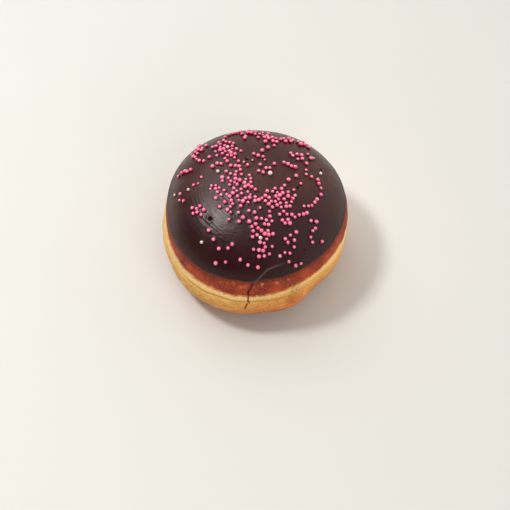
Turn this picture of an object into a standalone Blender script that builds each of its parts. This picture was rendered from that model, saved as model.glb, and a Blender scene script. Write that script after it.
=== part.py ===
"""Filled yeast doughnut, half coated in dark chocolate icing, with small round sugar pearls.

Two solids: the fried bun, which stands on a small flat base, and the icing on its upper half, with
the pearls fused to it. Metres, +Z up, the shown side towards -Y, the origin under the middle.
"""

import math
import random
from typing import NamedTuple

import bmesh
import bpy
from mathutils import Vector

MM = 0.001

# The bun's turned form: an upper and a lower quarter with squarish corners, joined at the waist
BUN_RADIUS = 43.0 * MM
BUN_HEIGHT = 51.0 * MM
WAIST_HEIGHT = 22.0 * MM
UPPER_SQUARENESS = 2.4
LOWER_SQUARENESS = 3.1
LOWER_DEPTH = 25.0 * MM
CENTRE = (0.2 * MM, 0.7 * MM)

# Heights between which the lower swells give way to the upper ones
BLEND_LOW = 16.0 * MM
BLEND_HIGH = 26.0 * MM

# The fold in the pale ring round the waist
FOLD_HEIGHT = 21.0 * MM
FOLD_HALF_WIDTH = 0.9 * MM
FOLD_FADE = 8.0

# The icing: a coat that thins out to its edge
ICING_EDGE_ANGLE = 15.3
ICING_THICKNESS = 1.3 * MM
ICING_EDGE_THICKNESS = 0.3 * MM
ICING_THINNING_ANGLE = 9.0
ICING_GAP = 0.35 * MM
ICING_EDGE_WAVES = ((1, 1.0, 90.0), (2, 1.7, -90.0), (5, 0.6, 20.0), (8, 0.4, 75.0), (13, 0.3, 10.0))

# The rings from the top down: on the dome in degrees of the quarter's own angle, then by height
CAP_RINGS = (90.0, 81.0, 72.0, 63.0, 54.0, 45.0, 37.0, 30.0, 24.5, 19.5, ICING_EDGE_ANGLE)
SIDE_HEIGHTS_MM = (30.8, 28.0, 25.0, 21.9, 21.0, 20.1, 16.5, 12.5, 8.0, 4.0, 1.2, 0.0)
SEGMENTS = 48

# Sugar pearls
PEARL_RADIUS = 0.95 * MM
PEARL_RISE = 0.6 * MM
PEARL_SPACING = 1.66 * MM
PEARL_SEED = 11
PEARL_TRIES = 14

# The crack at the front, as points (x, height) from its top down, in millimetres
CRACK_PATH = ((-1.0, 31.2), (-2.6, 28.8), (-3.2, 26.4), (-2.9, 23.2), (-3.3, 21.6), (-2.7, 20.4))
SLIT_PATH = ((-3.3, 19.4), (-3.9, 18.3), (-4.5, 17.2))
CRACK_HALF_WIDTH = 0.26 * MM
CRACK_DEPTH = 1.4 * MM


class Swell(NamedTuple):
    """A broad bulge or hollow of the side: azimuth and spread in degrees, height in millimetres."""

    azimuth: float
    spread: float
    amount: float


class Fold(NamedTuple):
    """A stretch of the waist fold: its middle and half its length in degrees, depth in millimetres."""

    azimuth: float
    half_span: float
    depth: float


class Drift(NamedTuple):
    """A loose line of pearls, seen from above in millimetres: ends, sideways bow, scatter, count."""

    start: tuple
    end: tuple
    bow: float
    scatter: float
    count: int


LOWER_SWELLS = (
    Swell(-50, 9, -1.3),
    Swell(-66, 8, 1.7),
    Swell(-95, 16, 2.0),
    Swell(-128, 18, 2.5),
    Swell(160, 30, 0.5),
    Swell(10, 30, -0.6),
)
UPPER_SWELLS = (
    Swell(-45, 30, -1.6),
    Swell(-135, 30, 0.2),
    Swell(135, 30, 1.3),
    Swell(45, 30, 0.8),
    Swell(90, 28, 0.1),
    Swell(180, 22, -1.8),
    Swell(0, 22, 0.2),
)
FOLDS = (Fold(-102, 34, 0.75), Fold(72, 30, 0.5), Fold(165, 14, 0.35))

DRIFTS = {
    "back rim west": Drift((-14.5, 34.0), (-1.0, 33.5), 1.0, 1.3, 8),
    "back rim": Drift((-1.0, 32.5), (11.5, 23.5), 0.5, 1.7, 14),
    "back rim east": Drift((11.5, 28.5), (25.0, 27.5), 1.0, 1.6, 10),
    "upper west heap": Drift((-15.5, 28.0), (-14.0, 16.5), 0.0, 1.7, 12),
    "upper heap": Drift((-12.5, 22.5), (-6.5, 17.5), 0.0, 1.7, 10),
    "far west hook": Drift((-22.5, 29.0), (-28.5, 19.5), -0.8, 1.1, 8),
    "west hook": Drift((-27.5, 18.0), (-20.5, 17.0), -1.6, 0.6, 4),
    "west row": Drift((-36.0, 13.3), (-28.0, 11.8), 0.0, 0.7, 5),
    "upper row": Drift((-20.0, 12.5), (-0.5, 11.5), 0.6, 1.5, 12),
    "crown row": Drift((-1.5, 17.2), (5.0, 17.2), 0.0, 1.1, 4),
    "crown drop": Drift((1.5, 10.8), (8.0, 8.8), -1.2, 1.5, 8),
    "east row": Drift((12.8, 12.2), (18.2, 11.9), 0.0, 0.6, 4),
    "east heap": Drift((16.0, 18.8), (26.5, 16.5), 1.4, 1.8, 10),
    "diagonal": Drift((-12.5, 6.5), (-7.0, -11.5), 1.2, 2.3, 28),
    "diagonal west": Drift((-20.5, 0.5), (-14.0, -4.0), 0.8, 1.5, 8),
    "diagonal east": Drift((-6.5, 3.0), (-1.0, -6.5), 0.0, 1.4, 6),
    "shoulder": Drift((-22.0, 6.5), (-30.0, 1.5), 0.0, 0.8, 4),
    "bridge": Drift((-3.0, -7.0), (4.5, -9.5), 0.0, 1.2, 8),
    "core": Drift((5.0, -6.0), (18.0, -5.5), 0.5, 2.0, 16),
    "core low": Drift((6.0, -10.0), (15.5, -11.5), 0.0, 1.3, 9),
    "core drop": Drift((11.5, -14.5), (14.5, -19.5), 0.0, 1.4, 7),
    "core spur": Drift((17.0, -14.5), (23.0, -12.5), 0.0, 0.6, 4),
    "ring top": Drift((22.0, 10.5), (29.0, 1.0), 1.2, 0.8, 6),
    "ring middle": Drift((29.6, -2.0), (21.0, -10.8), 1.0, 0.7, 6),
    "ring low": Drift((27.5, -13.8), (25.5, -24.5), 1.2, 1.3, 7),
    "south heap": Drift((-2.5, -23.0), (8.0, -19.0), 0.0, 1.5, 9),
    "south heap low": Drift((1.0, -26.0), (8.5, -22.8), 0.0, 1.0, 5),
    "south tail": Drift((-1.0, -29.0), (4.5, -31.5), 0.0, 1.1, 4),
    "south east": Drift((7.0, -29.5), (19.0, -29.0), -0.8, 1.2, 6),
    "south pair": Drift((12.0, -25.0), (18.0, -21.0), -1.0, 0.8, 3),
    "nest": Drift((-28.5, -10.5), (-22.5, -11.8), 0.0, 1.1, 7),
    "belly": Drift((-16.0, -11.5), (2.5, -16.0), 0.0, 1.9, 8),
    "belly low": Drift((-13.0, -18.0), (1.0, -19.5), 0.0, 1.0, 4),
    "front west": Drift((-21.5, -21.0), (-9.5, -31.5), 0.0, 2.4, 5),
    "front row": Drift((-19.5, -32.5), (2.0, -36.0), 0.0, 0.5, 5),
    "front east": Drift((17.4, -33.8), (20.8, -31.4), 0.0, 0.4, 2),
    "east singles": Drift((12.4, 2.5), (21.5, 2.2), 0.0, 1.0, 3),
    "west singles": Drift((-36.0, 2.0), (-29.0, -5.5), 0.0, 0.8, 3),
}


def smooth_step(value: float) -> float:
    """Ease from 0 to 1 as value goes from 0 to 1."""
    value = min(max(value, 0.0), 1.0)
    return value * value * (3.0 - 2.0 * value)


def turn_between(azimuth: float, other: float) -> float:
    """Signed difference of two azimuths in degrees, from -180 to 180."""
    return (azimuth - other + 180.0) % 360.0 - 180.0


def swell_sum(swells: tuple, azimuth: float) -> float:
    """Height of all the swells at an azimuth in degrees, in metres."""
    bells = (s.amount * math.exp(-0.5 * (turn_between(azimuth, s.azimuth) / s.spread) ** 2) for s in swells)
    return MM * sum(bells)


def quarter_point(angle: float) -> tuple:
    """Reach (0 to 1) and height on the turned form at a quarter's angle in degrees, up or down."""
    if angle >= 0.0:
        power, depth = 2.0 / UPPER_SQUARENESS, BUN_HEIGHT - WAIST_HEIGHT
    else:
        power, depth = 2.0 / LOWER_SQUARENESS, -LOWER_DEPTH
    turn = math.radians(abs(angle))
    reach = max(math.cos(turn), 0.0) ** power
    return reach, WAIST_HEIGHT + depth * math.sin(turn) ** power


def height_share(height: float) -> tuple:
    """Squareness of the quarter that a height is in, and the height's share of that quarter."""
    if height >= WAIST_HEIGHT:
        return UPPER_SQUARENESS, (height - WAIST_HEIGHT) / (BUN_HEIGHT - WAIST_HEIGHT)
    return LOWER_SQUARENESS, (WAIST_HEIGHT - height) / LOWER_DEPTH


def angle_at(height: float) -> float:
    """The quarter's angle in degrees at a height, negative under the waist."""
    squareness, share = height_share(height)
    return math.copysign(math.degrees(math.asin(share ** (squareness / 2.0))), height - WAIST_HEIGHT)


def skin_point(reach: float, height: float, azimuth: float) -> Vector:
    """Point on the bun's skin, with its swells, for a reach and height of the turned form."""
    blend = smooth_step((height - BLEND_LOW) / (BLEND_HIGH - BLEND_LOW))
    swell = (1.0 - blend) * swell_sum(LOWER_SWELLS, azimuth) + blend * swell_sum(UPPER_SWELLS, azimuth)
    radius = reach * (BUN_RADIUS + swell)
    turn = math.radians(azimuth)
    return Vector((CENTRE[0] + radius * math.cos(turn), CENTRE[1] + radius * math.sin(turn), height))


def edge_wave(azimuth: float) -> float:
    """How far the icing's edge strays, in degrees of the quarter's angle."""
    return sum(size * math.sin(math.radians(count * azimuth + start)) for count, size, start in ICING_EDGE_WAVES)


def fold_depth(azimuth: float) -> float:
    """Depth of the waist fold at an azimuth, in metres."""
    ends = (smooth_step((f.half_span - abs(turn_between(azimuth, f.azimuth))) / FOLD_FADE + 0.5) for f in FOLDS)
    return MM * max(f.depth * end for f, end in zip(FOLDS, ends))


def ring_position(angle: float, azimuth: float) -> Vector:
    """Point of a ring: the rings near the icing's edge follow its waves, and the fold cuts in."""
    near_edge = max(0.0, 1.0 - abs(angle - ICING_EDGE_ANGLE) / 12.0)
    reach, height = quarter_point(angle + near_edge * edge_wave(azimuth))
    point = skin_point(reach, height, azimuth)
    cut = fold_depth(azimuth) * max(0.0, 1.0 - abs(height - FOLD_HEIGHT) / FOLD_HALF_WIDTH)
    turn = math.radians(azimuth)
    return point - cut * Vector((math.cos(turn), math.sin(turn), 0.0))


def coat_share(angle: float) -> float:
    """Share of the full icing thickness at a ring: 1 on the dome, less towards the edge."""
    edge_share = ICING_EDGE_THICKNESS / ICING_THICKNESS
    return edge_share + (1.0 - edge_share) * smooth_step((angle - ICING_EDGE_ANGLE) / ICING_THINNING_ANGLE)


def ringed_mesh(angles: tuple, closed: bool) -> bmesh.types.BMesh:
    """A sphere whose parallels are moved to the rings at these angles.

    Args:
        angles: the rings from the top down, in degrees of the quarter's angle.
        closed: whether the last ring is closed by a flat base or left open.
    Returns:
        The mesh, with a layer named ring that holds each vertex's angle.
    """
    shape = bmesh.new()
    bmesh.ops.create_uvsphere(shape, u_segments=SEGMENTS, v_segments=len(angles), radius=1.0)
    layer = shape.verts.layers.float.new("ring")
    for vertex in list(shape.verts):
        index = round(math.acos(max(-1.0, min(1.0, vertex.co.z))) / math.pi * len(angles))
        azimuth = math.degrees(math.atan2(vertex.co.y, vertex.co.x))
        if index < len(angles):
            vertex[layer] = angles[index]
            vertex.co = ring_position(angles[index], azimuth)
        elif closed:
            vertex[layer] = angles[-1]
            vertex.co = (*CENTRE, 0.0)
        else:
            shape.verts.remove(vertex)
    return shape


def new_object(name: str, shape: bmesh.types.BMesh, collection: bpy.types.Collection) -> bpy.types.Object:
    """Turn a bmesh into a smooth-shaded object of a collection."""
    mesh = bpy.data.meshes.new(name)
    shape.normal_update()
    shape.to_mesh(mesh)
    shape.free()
    mesh.shade_smooth()
    mesh.set_sharp_from_angle(angle=math.radians(40.0))
    thing = bpy.data.objects.new(name, mesh)
    collection.objects.link(thing)
    return thing


def new_material(name: str, colour: tuple, roughness: float) -> bpy.types.Material:
    """A plain finish."""
    material = bpy.data.materials.new(name)
    material.use_nodes = True
    shader = material.node_tree.nodes["Principled BSDF"]
    shader.inputs["Base Color"].default_value = (*colour, 1.0)
    shader.inputs["Roughness"].default_value = roughness
    shader.inputs["Metallic"].default_value = 0.0
    return material


def apply_modifiers(thing: bpy.types.Object) -> None:
    """Replace an object's mesh with the one that its modifiers give."""
    graph = bpy.context.evaluated_depsgraph_get()
    mesh = bpy.data.meshes.new_from_object(thing.evaluated_get(graph))
    thing.modifiers.clear()
    thing.data = mesh


def crack_cutter(name: str, path: tuple, collection: bpy.types.Collection) -> bpy.types.Object:
    """A thin upright blade along a path on the front, widest in its middle and pointed at its ends."""
    left, right = [], []
    for step, (x, height) in enumerate(path):
        half = CRACK_HALF_WIDTH * (0.25 + 0.75 * math.sin(math.pi * step / (len(path) - 1)))
        left.append((x * MM - half, height * MM, 0.0))
        right.append((x * MM + half, height * MM, 0.0))
    outline = left + right[::-1]
    curve = bpy.data.curves.new(name, "CURVE")
    curve.dimensions = "2D"
    curve.fill_mode = "BOTH"
    curve.extrude = CRACK_DEPTH
    spline = curve.splines.new("POLY")
    spline.points.add(len(outline) - 1)
    for point, place in zip(spline.points, outline):
        point.co = (*place, 1.0)
    spline.use_cyclic_u = True
    blank = bpy.data.objects.new(name + "_outline", curve)
    collection.objects.link(blank)
    bpy.context.view_layer.update()
    mesh = bpy.data.meshes.new_from_object(blank.evaluated_get(bpy.context.evaluated_depsgraph_get()))
    shape = bmesh.new()
    shape.from_mesh(mesh)
    bpy.data.objects.remove(blank)
    bmesh.ops.remove_doubles(shape, verts=shape.verts, dist=0.01 * MM)
    top_x, top_height = (value * MM for value in path[0])
    middle_height = 0.5 * MM * (path[0][1] + path[-1][1])
    front = front_of(top_x, middle_height)
    lean = front_of(top_x, top_height) - front
    for vertex in shape.verts:
        x, height, side = vertex.co
        back = lean * (height - middle_height) / (top_height - middle_height)
        vertex.co = (x, front + back - side, height)
    bmesh.ops.recalc_face_normals(shape, faces=shape.faces)
    cutter = new_object(name, shape, collection)
    cutter.hide_render = True
    cutter.display_type = "WIRE"
    return cutter


def front_of(x: float, height: float) -> float:
    """The y of the bun's front skin at an x and a height."""
    squareness, share = height_share(height)
    reach = (1.0 - share**squareness) ** (1.0 / squareness)
    azimuth = -90.0 + math.degrees(math.asin((x - CENTRE[0]) / BUN_RADIUS))
    return skin_point(reach, height, azimuth).y


def make_bun(parts: bpy.types.Collection, cutters: bpy.types.Collection) -> bpy.types.Object:
    """The bun: recessed under the icing, folded at the waist, flat below, cracked at the front."""
    side_rings = tuple(angle_at(height * MM) for height in SIDE_HEIGHTS_MM)
    shape = ringed_mesh(CAP_RINGS + side_rings, closed=True)
    shape.normal_update()
    layer = shape.verts.layers.float["ring"]
    for vertex in shape.verts:
        if vertex[layer] >= ICING_EDGE_ANGLE:
            recess = ICING_THICKNESS * coat_share(vertex[layer]) + ICING_GAP
            vertex.co -= vertex.normal * recess
    bun = new_object("dough", shape, parts)
    for name, path in (("crack", CRACK_PATH), ("slit", SLIT_PATH)):
        cut = bun.modifiers.new(name, "BOOLEAN")
        cut.operation = "DIFFERENCE"
        cut.object = crack_cutter(name, path, cutters)
    return bun


def pearl_places() -> list:
    """Where the pearls lie: points on the icing and the direction straight out of it there.

    Returns:
        Pairs of a point and a unit normal, in the order in which the drifts are laid.
    """
    draw = random.Random(PEARL_SEED)
    places = []
    for drift in DRIFTS.values():
        start, end = Vector(drift.start), Vector(drift.end)
        along = end - start
        across = Vector((-along.y, along.x)).normalized()
        for number in range(drift.count):
            for attempt in range(PEARL_TRIES):
                share = (number + draw.random()) / drift.count
                aside = drift.bow * math.sin(math.pi * share) + draw.gauss(0.0, drift.scatter)
                plan = start + along * share + across * aside * (1.0 + 0.1 * attempt)
                point, normal = dome_point(plan * MM)
                if all((point - other).length > PEARL_SPACING for other, _ in places):
                    places.append((point, normal))
                    break
    return places


def dome_point(plan: Vector) -> tuple:
    """The point of the dome over a plan position, and the unit normal there."""

    def on_dome(x: float, y: float) -> Vector:
        aside = Vector((x - CENTRE[0], y - CENTRE[1]))
        azimuth = math.degrees(math.atan2(aside.y, aside.x))
        reach = min(aside.length / (BUN_RADIUS + swell_sum(UPPER_SWELLS, azimuth)), 0.985)
        share = (1.0 - reach**UPPER_SQUARENESS) ** (1.0 / UPPER_SQUARENESS)
        return skin_point(reach, WAIST_HEIGHT + (BUN_HEIGHT - WAIST_HEIGHT) * share, azimuth)

    step = 0.2 * MM
    east = on_dome(plan.x + step, plan.y) - on_dome(plan.x - step, plan.y)
    north = on_dome(plan.x, plan.y + step) - on_dome(plan.x, plan.y - step)
    return on_dome(plan.x, plan.y), east.cross(north).normalized()


def make_icing(parts: bpy.types.Collection) -> bpy.types.Object:
    """The icing: an open cap thickened inwards, thin at its edge, with the pearls fused to it."""
    shape = ringed_mesh(CAP_RINGS, closed=False)
    layer = shape.verts.layers.float["ring"]
    shares = [coat_share(vertex[layer]) for vertex in shape.verts]
    icing = new_object("icing", shape, parts)
    coat = icing.vertex_groups.new(name="coat")
    for index, share in enumerate(shares):
        coat.add([index], share, "REPLACE")
    wall = icing.modifiers.new("wall", "SOLIDIFY")
    wall.thickness = ICING_THICKNESS
    wall.offset = -1.0
    wall.vertex_group = coat.name
    apply_modifiers(icing)

    pearls = bpy.data.collections.new("pearls")
    bpy.context.scene.collection.children.link(pearls)
    for number, (point, normal) in enumerate(pearl_places()):
        pearl = bmesh.new()
        bmesh.ops.create_icosphere(pearl, subdivisions=1, radius=PEARL_RADIUS)
        turn = Vector((0.0, 0.0, 1.0)).rotation_difference(normal).to_matrix()
        bmesh.ops.rotate(pearl, verts=pearl.verts, matrix=turn)
        bmesh.ops.translate(pearl, verts=pearl.verts, vec=point + normal * PEARL_RISE)
        new_object(f"pearl_{number}", pearl, pearls)
    fuse = icing.modifiers.new("pearls", "BOOLEAN")
    fuse.operation = "UNION"
    fuse.operand_type = "COLLECTION"
    fuse.collection = pearls
    fuse.solver = "MANIFOLD"
    apply_modifiers(icing)
    for pearl in list(pearls.objects):
        bpy.data.objects.remove(pearl)
    bpy.data.collections.remove(pearls)
    return icing


def main() -> None:
    """Clear the scene and build the doughnut."""
    for thing in list(bpy.data.objects):
        bpy.data.objects.remove(thing)
    parts = bpy.data.collections.new("doughnut")
    cutters = bpy.data.collections.new("doughnut_cutters")
    bpy.context.scene.collection.children.link(parts)
    bpy.context.scene.collection.children.link(cutters)
    bun = make_bun(parts, cutters)
    bun.data.materials.append(new_material("fried_dough", (0.56, 0.29, 0.10), 0.6))
    icing = make_icing(parts)
    icing.data.materials.append(new_material("dark_icing", (0.065, 0.035, 0.028), 0.35))


if __name__ == "__main__":
    main()
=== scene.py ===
import logging
import math
import random
from dataclasses import dataclass
from enum import Enum
from functools import cached_property
from typing import Any

import bpy
import numpy as np
from mathutils import Matrix, Vector, noise
from mathutils.kdtree import KDTree


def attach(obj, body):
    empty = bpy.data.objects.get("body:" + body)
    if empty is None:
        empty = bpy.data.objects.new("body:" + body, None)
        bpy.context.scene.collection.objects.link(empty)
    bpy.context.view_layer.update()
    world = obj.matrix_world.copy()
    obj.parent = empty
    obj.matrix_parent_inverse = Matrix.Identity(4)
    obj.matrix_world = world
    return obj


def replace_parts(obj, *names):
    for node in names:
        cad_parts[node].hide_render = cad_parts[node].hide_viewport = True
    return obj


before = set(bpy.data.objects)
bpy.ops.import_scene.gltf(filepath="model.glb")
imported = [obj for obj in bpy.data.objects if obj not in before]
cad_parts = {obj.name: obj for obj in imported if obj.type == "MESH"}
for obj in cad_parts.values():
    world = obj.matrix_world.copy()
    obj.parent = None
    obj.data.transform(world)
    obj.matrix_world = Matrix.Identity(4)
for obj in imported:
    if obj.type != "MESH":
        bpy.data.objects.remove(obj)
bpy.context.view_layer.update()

Array = np.ndarray

MM = 0.001
# Parts that each edge of a coarse primitive is divided into
SPLIT = 4
# Y in millimetres in front of which the cracks lie
FRONT = -30.0
log = logging.getLogger("doughnut")


# Small helpers


def ease(value: Array, low: float, high: float) -> Array:
    """Rise smoothly from 0 to 1 as value goes from low to high."""
    share = np.clip((value - low) / (high - low), 0.0, 1.0)
    return share * share * (3.0 - 2.0 * share)


def bell(value: Array, middle: float, width: float) -> Array:
    """A smooth bump of height 1 at the middle that fades over the width on both sides."""
    return np.exp(-(((value - middle) / width) ** 2))


def turn_between(azimuth: Array, other: float) -> Array:
    """Signed difference of two azimuths in degrees, from -180 to 180."""
    return (azimuth - other + 180.0) % 360.0 - 180.0


def sector(azimuth: Array, middle: float, spread: float) -> Array:
    """1 at an azimuth, fading over a spread on both sides, all in degrees."""
    return bell(turn_between(azimuth, middle), 0.0, spread)


def round_spot(places: Array, spot: Any, widths: Any) -> Array:
    """1 at a spot, fading over a width on all sides, or over one width along each axis."""
    return np.exp(-np.sum(((places - spot) / widths) ** 2, axis=1))


def grain(places: Array, size: float, shift: float = 0.0) -> Array:
    """Smooth noise from about -1 to 1, read at points.

    Args:
        places: points in millimetres, one a row.
        size: width of the noise's lumps in millimetres.
        shift: moves the pattern, so that two calls differ.
    Returns:
        One value for each point.
    """
    spots = places / size + shift
    return np.array([noise.noise(spot) for spot in spots.tolist()])


def rgb(red: int, green: int, blue: int) -> tuple[float, float, float, float]:
    """A screen colour from 0 to 255 as the linear colour that a shader takes."""
    parts = (value / 255.0 for value in (red, green, blue))
    linear = (v / 12.92 if v <= 0.04045 else ((v + 0.055) / 1.055) ** 2.4 for v in parts)
    return (*linear, 1.0)


def path_distance(places: Array, path: Array) -> Array:
    """Distance of each point from a line of straight stretches, in the path's own dimensions."""
    nearest = np.full(len(places), np.inf)
    for start, end in zip(path[:-1], path[1:]):
        along = end - start
        share = np.clip(((places - start) @ along) / (along @ along), 0.0, 1.0)
        aside = places - start - share[:, None] * along
        nearest = np.minimum(nearest, np.linalg.norm(aside, axis=1))
    return nearest


# Shader graphs


class Signal:
    """A node's output; arithmetic on it adds Math nodes."""

    def __init__(self, graph: "Graph", socket: bpy.types.NodeSocket) -> None:
        """Keep the graph and the socket."""
        self.graph = graph
        self.socket = socket

    def _math(self, operation: str, first: Any, second: Any) -> "Signal":
        """A Math node on two values."""
        return self.graph.node("ShaderNodeMath", {"operation": operation}, {0: first, 1: second})

    def __add__(self, other: Any) -> "Signal":
        """Sum."""
        return self._math("ADD", self, other)

    __radd__ = __add__

    def __sub__(self, other: Any) -> "Signal":
        """Difference."""
        return self._math("SUBTRACT", self, other)

    def __mul__(self, other: Any) -> "Signal":
        """Product."""
        return self._math("MULTIPLY", self, other)

    __rmul__ = __mul__

    def __truediv__(self, other: Any) -> "Signal":
        """Quotient."""
        return self._math("DIVIDE", self, other)

    def larger(self, other: Any) -> "Signal":
        """The larger of this and another value."""
        return self._math("MAXIMUM", self, other)

    def ease(self, low: float, high: float) -> "Signal":
        """Rise smoothly from 0 to 1 as this goes from low to high."""
        settings = {"interpolation_type": "SMOOTHSTEP"}
        values = {"Value": self, "From Min": low, "From Max": high, "To Min": 0.0, "To Max": 1.0}
        if low > high:
            values |= {"From Min": high, "From Max": low, "To Min": 1.0, "To Max": 0.0}
        return self.graph.node("ShaderNodeMapRange", settings, values)


class Graph:
    """The node graph of one material, with its shader and output."""

    def __init__(self, name: str) -> None:
        """Make the material with a Principled shader."""
        self.material = bpy.data.materials.new(name)
        self.material.use_nodes = True
        self.tree = self.material.node_tree
        self.shader = self.tree.nodes["Principled BSDF"]

    def node(self, kind: str, settings: dict, values: dict, output: str | int = 0) -> Signal:
        """Add a node.

        Args:
            kind: the node's type.
            settings: its properties, which are set before its sockets.
            values: its inputs by name, identifier or number, each a number, tuple or signal.
            output: name, identifier or number of the output that is wanted.
        Returns:
            That output.
        """
        made = self.tree.nodes.new(kind)
        for key, value in settings.items():
            setattr(made, key, value)
        for key, value in values.items():
            self.feed(self.socket(made.inputs, key), value)
        return Signal(self, self.socket(made.outputs, output))

    @staticmethod
    def socket(sockets: Any, key: str | int) -> bpy.types.NodeSocket:
        """Find a socket by number, identifier or name."""
        if isinstance(key, int):
            return sockets[key]
        exact = [found for found in sockets if found.identifier == key]
        return exact[0] if exact else sockets[key]

    def feed(self, socket: bpy.types.NodeSocket, value: Any) -> None:
        """Link a signal into a socket, or set a plain value on it."""
        if isinstance(value, Signal):
            self.tree.links.new(value.socket, socket)
        else:
            socket.default_value = value

    def attribute(self, name: str) -> Signal:
        """A number stored on the mesh's points."""
        return self.node("ShaderNodeAttribute", {"attribute_name": name}, {}, "Fac")

    @cached_property
    def place(self) -> Signal:
        """Object coordinates, in metres."""
        return self.node("ShaderNodeTexCoord", {}, {}, "Object")

    def vector(self, operation: str, first: Any, second: Any, output: str) -> Signal:
        """A Vector Math node on two vectors."""
        return self.node("ShaderNodeVectorMath", {"operation": operation}, {0: first, 1: second}, output)

    def noise(
        self, size: float, detail: float = 2.0, rough: float = 0.5, place: Signal | None = None
    ) -> Signal:
        """Noise from 0 to 1 with lumps of a size in millimetres.

        Args:
            size: width of the lumps in millimetres.
            detail: how many finer layers it has.
            rough: strength of each finer layer.
            place: the coordinates that it reads, else the object's own.
        Returns:
            The noise.
        """
        values = {"Vector": place or self.place, "Scale": 1.0 / (size * MM)}
        values |= {"Detail": detail, "Roughness": rough}
        return self.node("ShaderNodeTexNoise", {}, values, "Fac")

    def stretched(self, factors: tuple[float, float, float]) -> Signal:
        """Object coordinates scaled along each axis."""
        return self.vector("MULTIPLY", self.place, factors, "Vector")

    def blend(self, factor: Signal | float, first: Any, second: Any) -> Signal:
        """Mix two colours: the first where factor is 0, the second where it is 1."""
        settings = {"data_type": "RGBA", "clamp_factor": True}
        values = {"Factor_Float": factor, "A_Color": first, "B_Color": second}
        return self.node("ShaderNodeMix", settings, values, "Result_Color")

    def shade(self, factor: Signal, colour: Any) -> Signal:
        """Multiply a colour by a number."""
        whole = self.node("ShaderNodeCombineColor", {}, {"Red": factor, "Green": factor, "Blue": factor})
        settings = {"data_type": "RGBA", "blend_type": "MULTIPLY"}
        values = {"Factor_Float": 1.0, "A_Color": colour, "B_Color": whole}
        return self.node("ShaderNodeMix", settings, values, "Result_Color")

    def near(self, spot: Any) -> Signal:
        """Distance in millimetres from a spot given in millimetres."""
        centre = tuple(value * MM for value in spot)
        return self.vector("DISTANCE", self.place, centre, "Value") / MM

    def bump(self, height: Signal, depth: float) -> Signal:
        """A normal from a height signal, whose 1 stands for a depth in millimetres."""
        values = {"Strength": 1.0, "Distance": depth * MM, "Height": height}
        return self.node("ShaderNodeBump", {}, values, "Normal")

    def finish(self, **values: Any) -> bpy.types.Material:
        """Set the shader's sockets, named with underscores for spaces, and give the material."""
        for key, value in values.items():
            self.feed(self.shader.inputs[key.replace("_", " ")], value)
        return self.material


# Meshes


def split_faces() -> None:
    """Divide each edge of the active object into SPLIT equal parts."""
    bpy.ops.object.mode_set(mode="EDIT")
    bpy.ops.mesh.select_all(action="SELECT")
    bpy.ops.mesh.subdivide(number_cuts=SPLIT - 1)
    bpy.ops.object.mode_set(mode="OBJECT")


def read_places(mesh: bpy.types.Mesh) -> Array:
    """The mesh's points, one a row."""
    flat = np.empty(len(mesh.vertices) * 3, np.float32)
    mesh.vertices.foreach_get("co", flat)
    return flat.reshape(-1, 3).astype(float)


def write_places(mesh: bpy.types.Mesh, places: Array) -> None:
    """Move the mesh's points to places in millimetres."""
    mesh.vertices.foreach_set("co", (places * MM).astype(np.float32).ravel())
    mesh.update()


def write_numbers(mesh: bpy.types.Mesh, **numbers: Array) -> None:
    """Store numbers on the mesh's points under the names that its material reads."""
    for name, values in numbers.items():
        layer = mesh.attributes.new(name, "FLOAT", "POINT")
        layer.data.foreach_set("value", values.astype(np.float32))


def coarse_sphere(segments: int, rings: int) -> bpy.types.Object:
    """A sphere of radius 1 that split_faces brings to these numbers of segments and rings."""
    bpy.ops.object.select_all(action="DESELECT")
    bpy.ops.mesh.primitive_uv_sphere_add(segments=segments // SPLIT, ring_count=rings // SPLIT, radius=1.0)
    return bpy.context.object


def dress(piece: bpy.types.Object, material: bpy.types.Material) -> None:
    """Give a piece its material, and let it ride with the doughnut."""
    piece.data.materials.clear()
    piece.data.materials.append(material)
    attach(piece, "root")


# The doughnut's form


@dataclass(frozen=True)
class Swell:
    """A broad bulge or hollow of the side: azimuth and spread in degrees, amount in millimetres."""

    azimuth: float
    spread: float
    amount: float


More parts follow.
